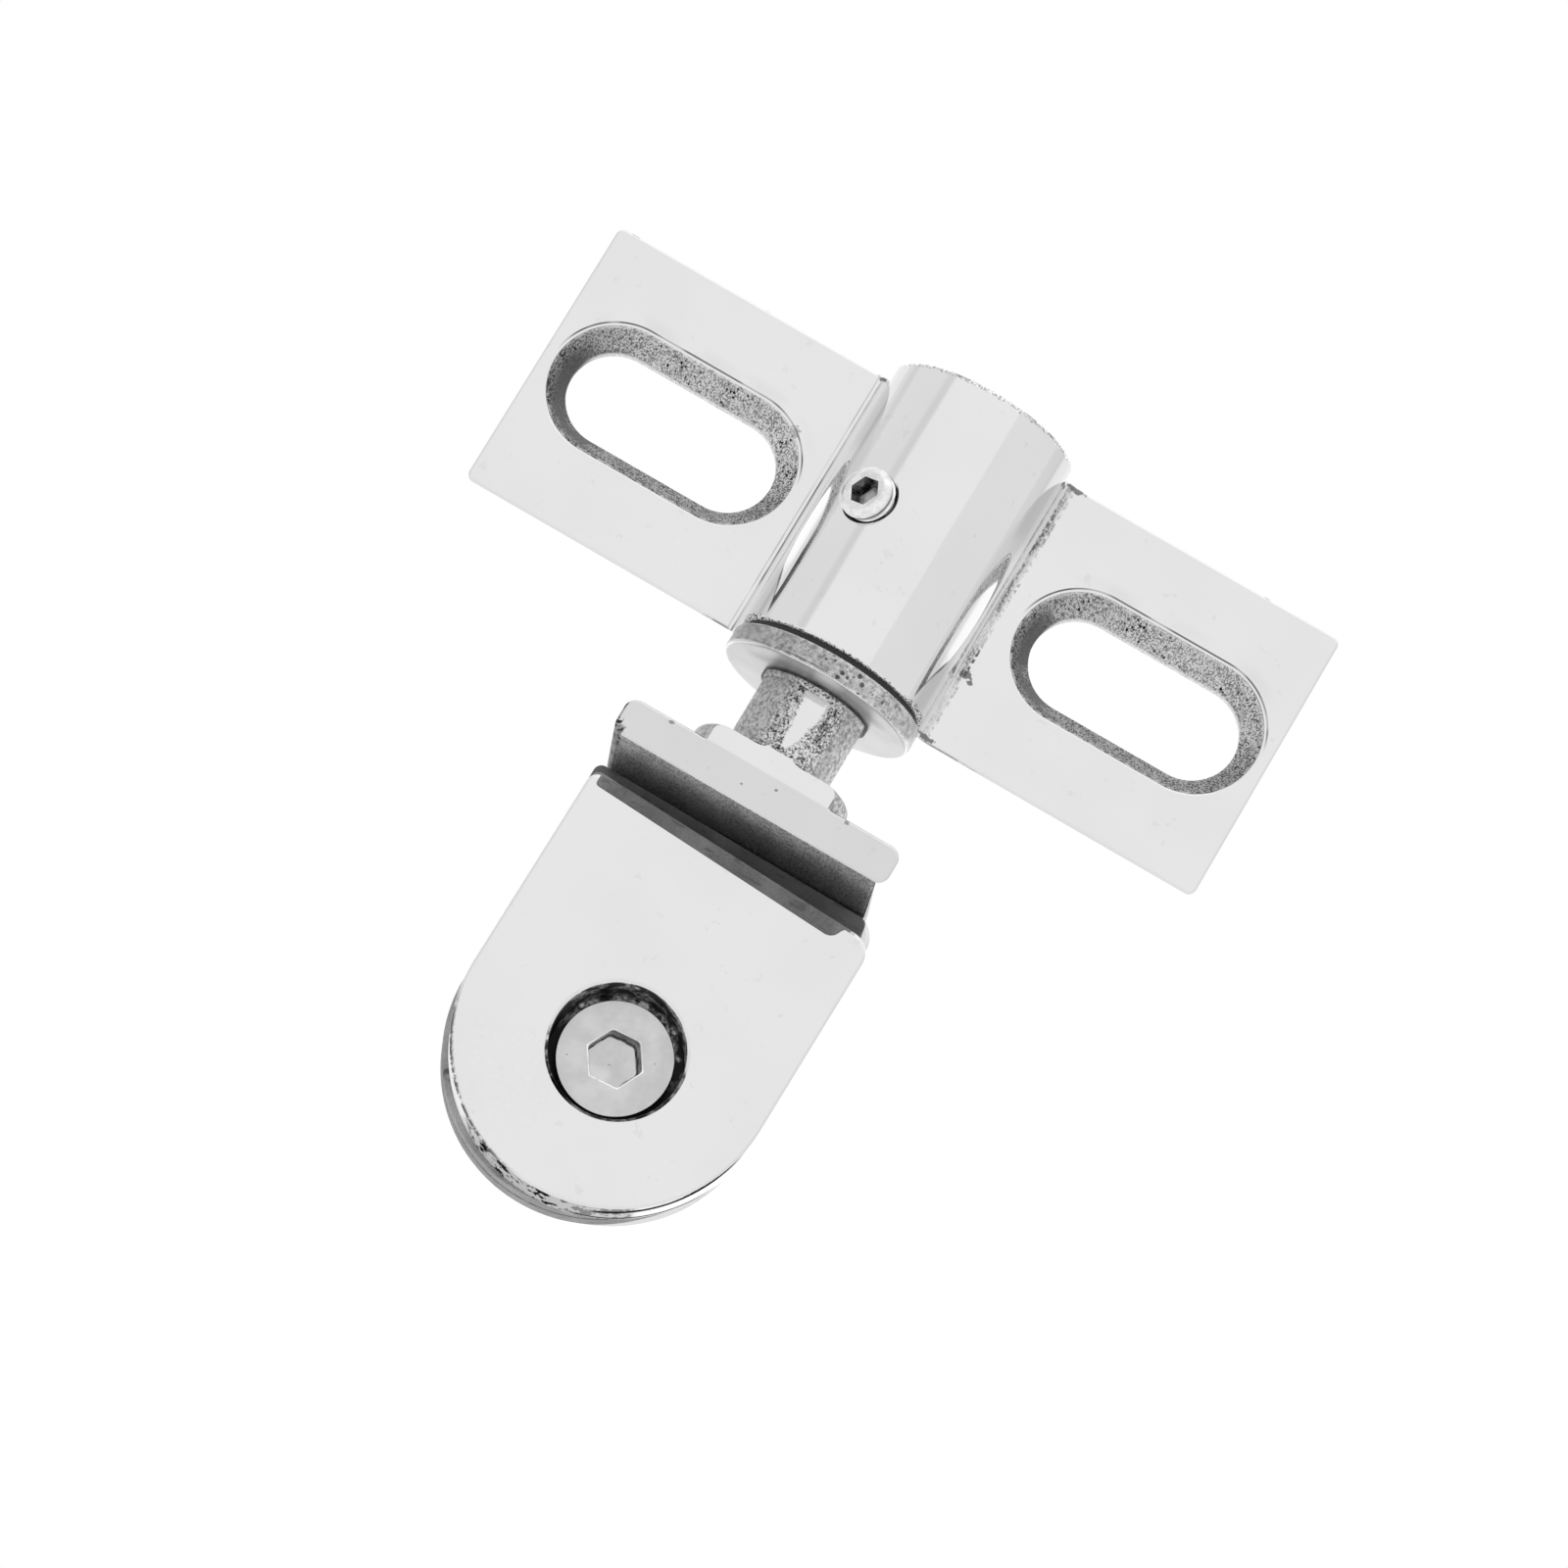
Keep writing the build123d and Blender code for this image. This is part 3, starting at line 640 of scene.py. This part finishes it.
# Washers, screws, pads and bushes
def washer_chrome():
    """Polished on top, satin on rim and underside."""
    f = Finish("washer_chrome")
    tone, pits = polished(f)
    reach = f.length(f.x, f.sub(f.y, AXIS_Y))

    # Satin rim, painted lighter towards the right, pitted in the middle, with a dark line and a painted highlight
    # on its edge at the lower left
    rim = f.span(reach, WASHER_RADIUS - 0.15, WASHER_RADIUS - 0.03)
    rim_grain_and_side_light = f.vary(f.noise(0.7, 3.0, 0.6, f.stretch(f.at, 1.0, 1.0, 1.4)), 0.26, 0.46)
    rim_grain_and_side_light = f.mul(rim_grain_and_side_light, f.ramp(f.x, -7.0, 8.0, 1.1, 1.7))
    pitted = f.mul(f.spots(0.55, 0.2, 0.55), f.span(f.x, -4.0, 1.0), f.span(f.x, 9.0, 5.0))
    mottle = f.span(f.ragged(0.35), 0.5, 0.62)
    rim_tone = f.mix(f.mul(mottle, f.band(f.x, -6.0, 7.5, 2.0), 0.6), rim_grain_and_side_light, 0.1)
    rim_tone = f.mix(f.mul(pitted, 0.85), rim_tone, 0.04)
    line = f.mul(f.band(f.z, -16.22, -16.12, 0.05), f.span(f.x, 3.0, -2.0), f.span(f.noise(1.5), 0.4, 0.6))
    rim_tone = f.mix(line, rim_tone, 0.05)
    # Painted highlight on the rim's lower left edge
    light = f.mul(f.span(f.z, -16.1, -16.25), f.span(f.x, -5.0, -7.0))
    rim_tone = f.mix(light, rim_tone, 0.55)

    # The underside has a darker band in front of the ring, a painted reflection of the neck
    under = f.span(f.z, WASHER_BOTTOM + 0.05, WASHER_BOTTOM + 0.02)
    band = f.mul(f.span(reach, 8.3, 6.6), f.span(f.y, -9.0, -11.0))
    tone = f.mix(under, tone, f.mix(band, f.vary(f.noise(3.0), 0.7, 0.76), 0.5))
    tone = f.mix(rim, tone, rim_tone)
    rough = f.mix(under, f.mix(rim, f.mix(pits, 0.12, PITTED), 0.3), 0.38)
    f.set(Metallic=1.0, Roughness=rough, Normal=f.bump(f.noise(0.6, 3.0), 0.02, 0.5))
    return f.tone(tone)


def satin(f, reach, light, roughness):
    """Satin zinc steel, with faint turning rings about an axis. Gives its tone."""
    patch = f.vary(f.noise(2.2, 3.0, 0.6), -0.05, 0.04)
    specks = f.spots(0.8, 0.07, 0.3)
    about_axis = f.fill(f.node("ShaderNodeCombineXYZ"), reach).outputs[0]
    rings = f.noise(0.25, 2.0, 0.6, about_axis)
    f.set(Metallic=1.0, Roughness=f.mix(specks, roughness, 0.5), Normal=f.bump(rings, 0.012, 0.6))
    return f.mix(f.mul(specks, 0.7), f.add(patch, light), 0.25)


def clamp_screw_steel():
    """Its socket has a painted highlight round its mouth, strongest below, and walls darkened by painted shade."""
    f = Finish("clamp_screw_steel")
    dx, dz = f.sub(f.x, SCREW_CENTRE[0]), f.sub(f.z, SCREW_CENTRE[1] - HEAD_DROP)
    tone = satin(f, f.length(dx, dz), 0.62, 0.26)

    # Half the width of the hexagon that a point is on
    across = 0.0
    for i in range(3):
        angle = SOCKET_TURN + pi / 6 + i * pi / 3
        across = f.most(across, f.size(f.add(f.mul(dx, cos(angle)), f.mul(dz, sin(angle)))))
    # Painted shade on the socket's walls
    wall = f.mul(
        f.span(f.y, -3.14, -3.08),
        f.span(across, 2.45, 2.2),
        f.span(f.y, -1.25, -1.4),
        f.span(across, 1.95, 2.05),
    )
    # Painted highlight round the socket's mouth, strongest below
    mouth = f.mul(
        f.band(across, 2.29, 2.41, 0.04),
        f.span(f.y, -3.1, -3.15),
        f.span(f.noise(0.9), 0.35, 0.5, 0.3, 0.9),
        f.span(dz, 1.2, 0.2, 0.25, 1.0),
    )
    return f.tone(f.mix(mouth, f.mix(wall, tone, 0.2), 1.0))


def set_screw_steel():
    """Bright steel, with painted shade in the thread's grooves and in the socket."""
    f = Finish("set_screw_steel")
    along, reach = set_screw_place(f)
    tone = f.mul(satin(f, reach, 0.92, 0.14), f.span(f.noise(0.7, 3.0, 0.6), 0.4, 0.6, 0.86, 1.0))
    groove = f.mul(f.span(reach, 2.38, 2.28), f.span(reach, 1.6, 1.8), f.span(along, 9.98, 9.9))
    socket = f.mul(f.span(reach, 1.52, 1.46), f.span(along, 10.27, 10.2))
    # Painted shade in the thread's grooves, and in the socket below
    tone = f.mix(f.mul(groove, 0.85), tone, 0.12)
    return f.tone(f.mix(socket, tone, f.vary(f.noise(0.8), 0.26, 0.42)))


def pad_rubber():
    """Grey rubber, with painted shade at the rear pad's top."""
    f = Finish("pad_rubber")
    grain = f.noise(0.22, 3.0, 0.6)
    tone = f.add(f.vary(f.noise(3.5), 0.26, 0.36), f.vary(grain, -0.03, 0.04))
    dust = f.mul(f.span(f.noise(1.4, 4.0, 0.65), 0.58, 0.72), 0.05)
    lines = f.span(f.noise(0.5, 2.0, 0.6, f.stretch(f.at, 0.2, 1.6, 0.2)), 0.6, 0.66)
    tone = f.mix(f.mul(lines, f.span(f.z, -53.0, -56.0)), f.add(tone, dust), 0.08)
    creases = f.span(f.noise(0.9, 2.0, 0.6, f.stretch(f.at, 0.4, 1.0, 1.6)), 0.6, 0.66)
    tone = f.mix(f.mul(creases, f.span(f.z, -34.0, -33.0), 0.5), tone, 0.12)
    # Painted shade at the rear pad's top, under the block
    rear_pad_top_shade = f.mul(f.span(f.y, 0.7, 0.8), f.span(f.z, -35.0, -32.0))
    f.set(Roughness=f.vary(grain, 0.55, 0.75), Specular_IOR_Level=0.35, Normal=f.bump(grain, 0.03, 0.5))
    return f.tone(f.mix(rear_pad_top_shade, tone, f.mul(tone, 0.42)))


def plastic(name, grain, tones, roughness, height, strength):
    """Plain moulded plastic, whose grain varies tone and roughness between two values each."""
    f = Finish(name)
    fine = f.noise(grain, 3.0, 0.6)
    f.set(Roughness=f.vary(fine, *roughness), Normal=f.bump(fine, height, strength))
    return f.tone(f.vary(fine, *tones))


# Threaded screws, lofted ring by ring about their own axes
def hexagon(across, count, turn, corner=9.0):
    """Points on a hexagon, one for each step of a full turn. Its corners reach out by `corner` at most."""
    points = []
    for i in range(count):
        angle = 2 * pi * i / count
        part = (angle - turn) % (pi / 3) - pi / 6
        radius = min(across / 2 / cos(part), corner)
        points.append((radius * cos(angle), radius * sin(angle)))
    return points


def circle(radius, count):
    return [(radius * cos(2 * pi * i / count), radius * sin(2 * pi * i / count)) for i in range(count)]


def at_height(points, height, aside=(0.0, 0.0)):
    return [(x + aside[0], y + aside[1], height) for x, y in points]


def turned(count, profile, aside=(0.0, 0.0)):
    """Round rings from pairs of radius and height."""
    return [at_height(circle(radius, count), height, aside) for radius, height in profile]


def screw_thread(major, depth, pitch, start, end, lead, count, steps=14):
    """Rings of a 60 degree thread between two heights, which fades in over `lead` at both ends."""
    rings = []
    rows = int(round((end - start) / pitch * steps))
    for row in range(rows + 1):
        height = start + (end - start) * row / rows
        fade = min(1.0, (height - start) / lead, (end - height) / lead)
        ring = []
        for i in range(count):
            # Crest and root are narrow flats, with straight flanks between them
            phase = (height / pitch - i / count) % 1.0
            flank = min(1.0, max(0.0, abs(phase - 0.5) * 2.7 - 0.2))
            radius = major - depth * flank * fade
            angle = 2 * pi * i / count
            ring.append((radius * cos(angle), radius * sin(angle), height))
        rings.append(ring)
    return rings


def loft(name, rings, origin, axis, across, finish, body, replaced):
    """A closed piece through rings of points. Its own z runs along `axis`, its own x along `across`."""
    axis = Vector(axis).normalized()
    across = Vector(across).normalized()
    third = axis.cross(across)
    build = bmesh.new()
    rows = []
    for ring in rings:
        places = [Vector(origin) + across * x + third * y + axis * z for x, y, z in ring]
        rows.append([build.verts.new(place * MM) for place in places])
    count = len(rows[0])
    for low, high in zip(rows, rows[1:]):
        for i in range(count):
            j = (i + 1) % count
            build.faces.new((low[i], low[j], high[j], high[i]))
    build.faces.new(list(reversed(rows[0])))
    build.faces.new(rows[-1])
    bmesh.ops.recalc_face_normals(build, faces=build.faces)
    mesh = bpy.data.meshes.new(name)
    build.to_mesh(mesh)
    build.free()
    for face in mesh.polygons:
        face.use_smooth = True
    mesh.set_sharp_from_angle(angle=radians(32))
    mesh.materials.append(finish.material)
    piece = bpy.data.objects.new(name, mesh)
    bpy.context.scene.collection.objects.link(piece)
    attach(piece, body)
    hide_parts(replaced)


def set_screw():
    """Heights are along its axis, from the barrel's axis outward."""
    count = 72
    tip, shoulder, end = 3.25, 5.2, 10.3
    point, major, thread_depth, pitch = 1.5, 2.5, 0.36, 0.8
    socket, socket_turn = 2.5, 0.5
    rings = turned(count, [(0.9, tip), (1.3, tip), (point, tip + 0.2), (point, shoulder - 0.02),
                           (2.12, shoulder)])
    rings += screw_thread(major, thread_depth, pitch, shoulder + 0.33, end - 0.3, 0.25, count)
    rings += turned(count, [(2.42, end - 0.28), (2.05, end - 0.08), (1.9, end)])
    for across, height in ((socket + 0.12, end), (socket, end - 0.08), (socket, end - 2.1)):
        rings.append(at_height(hexagon(across, count, socket_turn), height))
    rings += turned(count, [(0.9, end - 2.2), (0.1, end - 2.6)])
    outward = (-sin(SET_SCREW_TURN), -cos(SET_SCREW_TURN), 0)
    loft("set_screw_thread", rings, (0, AXIS_Y, 0), outward, (0, 0, 1), set_screw_steel(),
         BRACKET, "barrel_set_screw")


def clamp_bolt():
    """Heights are along its axis, from the head's seat forward."""
    count = 120
    front, tail = 2.8, -16.0
    major, thread_depth, pitch = 3.0, 0.5, 1.0
    rings = turned(count, [(1.6, tail), (2.35, tail), (2.85, tail + 0.5)])
    rings += screw_thread(major, thread_depth, pitch, tail + 0.6, -1.0, 0.5, count)
    rings += turned(count, [(2.98, -0.9), (2.98, 0.0)])

    # The head hangs a little low in its counterbore
    head = (0.0, -HEAD_DROP)
    rings += turned(count, [(4.95, 0.0), (5.19, 0.12), (5.28, 0.3), (5.28, front - 0.14),
                            (5.25, front - 0.05), (5.19, front), (5.0, front)], head)
    for across, height in ((4.78, front), (4.62, front - 0.04), (4.56, front - 0.13)):
        rings.append(at_height(hexagon(across, count, SOCKET_TURN, across * 0.555), height, head))

    # Its socket leans to the left, down to a drilled point
    lean, point = (-0.2, -0.25), (-0.3, -0.45)
    for across, corner, height in ((4.5, 2.5, front - 1.85), (4.2, 2.35, front - 2.0)):
        rings.append(at_height(hexagon(across, count, SOCKET_TURN, corner), height, lean))
    rings += turned(count, [(1.9, front - 2.05)], lean)
    rings += turned(count, [(0.16, front - 2.5), (0.12, front - 2.75)], point)
    seat = (SCREW_CENTRE[0], SCREW_SEAT, SCREW_CENTRE[1])
    loft("clamp_bolt", rings, seat, (0, -1, 0), (1, 0, 0), clamp_screw_steel(),
         JAW, "clamp_screw")


# Stage: a pale floor well below the hinge, in a white studio. The floor's half width and height are in metres
FLOOR_HALF, FLOOR_Z = 1.2, -0.45


def build_floor():
    half, z = FLOOR_HALF, FLOOR_Z
    mesh = bpy.data.meshes.new("floor")
    corners = [(-half, -half, z), (half, -half, z), (half, half, z), (-half, half, z)]
    mesh.from_pydata(corners, [], [(0, 1, 2, 3)])
    floor = bpy.data.objects.new("floor", mesh)
    bpy.context.scene.collection.objects.link(floor)
    paint = Finish("floor_paint")
    paint.set(Roughness=0.9)
    paint.tone(paint.vary(paint.noise(300.0), 0.84, 0.87))
    mesh.materials.append(paint.material)


def build_studio():
    """White to the camera. In reflections the front is brightest, the sides are a step darker.

    Directions are angles to the right of the front, so that they are below zero at the left.
    """
    front, right_side, left_side, behind, behind_below = 0.95, 0.86, 0.85, 1.16, 1.28
    right_dip, left_dips, overhead = 0.78, 0.76, 1.25
    world = bpy.data.worlds.new("studio")
    bpy.context.scene.world = world
    world.use_nodes = True
    g = Graph(world.node_tree)
    out = g.node("ShaderNodeOutputWorld")
    background = g.node("ShaderNodeBackground")
    g.put(out.inputs[0], background.outputs[0])
    x, y, z = g.split(g.node("ShaderNodeTexCoord").outputs["Generated"])
    azimuth = g.math("ARCTAN2", x, g.mul(y, -1.0))
    aside = g.size(azimuth)

    def sector(start, end, soft):
        return g.band(azimuth, radians(start), radians(end), radians(soft))

    right = g.span(azimuth, radians(34), radians(35.5), front, right_side)
    right = g.mix(sector(101, 113, 1.5), right, right_dip)
    left = g.span(azimuth, radians(-62), radians(-52), left_side, front)
    level = g.mix(g.span(azimuth, radians(-6), radians(-4)), left, right)
    level = g.mix(g.most(sector(-60, -50, 3), sector(-114, -104, 3)), level, left_dips)
    level = g.mul(level, g.span(z, 0.42, 0.9, 1.0, overhead))
    level = g.mix(g.span(aside, radians(118), radians(128)), level, behind)
    below = g.mul(g.span(aside, radians(140), radians(160)), g.span(z, -0.12, -0.2))
    level = g.mix(below, level, behind_below)
    seen = g.node("ShaderNodeLightPath").outputs["Is Camera Ray"]
    g.put(background.inputs["Color"], g.grey(g.mix(seen, level, 1.0)))
    background.inputs["Strength"].default_value = 1.0


build_camera()

dress(nodes["bracket"], bracket_chrome())
dress(nodes["clamp_body"], clamp_chrome())
dress(nodes["front_plate"], plate_chrome())
dress(nodes["bearing_washer"], washer_chrome())
nylon = plastic("friction_nylon", grain=0.3, tones=(0.008, 0.02), roughness=(0.45, 0.7), height=0.03, strength=0.5)
dress(nodes["friction_washer"], nylon)
rubber = pad_rubber()
for name in ("rear_pad", "front_pad"):
    dress(nodes[name], rubber)
acetal = plastic("bush_acetal", grain=0.9, tones=(0.66, 0.76), roughness=(0.35, 0.5), height=0.02, strength=0.4)
for name in ("upper_bush", "lower_bush"):
    dress(nodes[name], acetal)
set_screw()
clamp_bolt()

build_floor()
build_studio()
bpy.context.scene.view_settings.view_transform = "Standard"
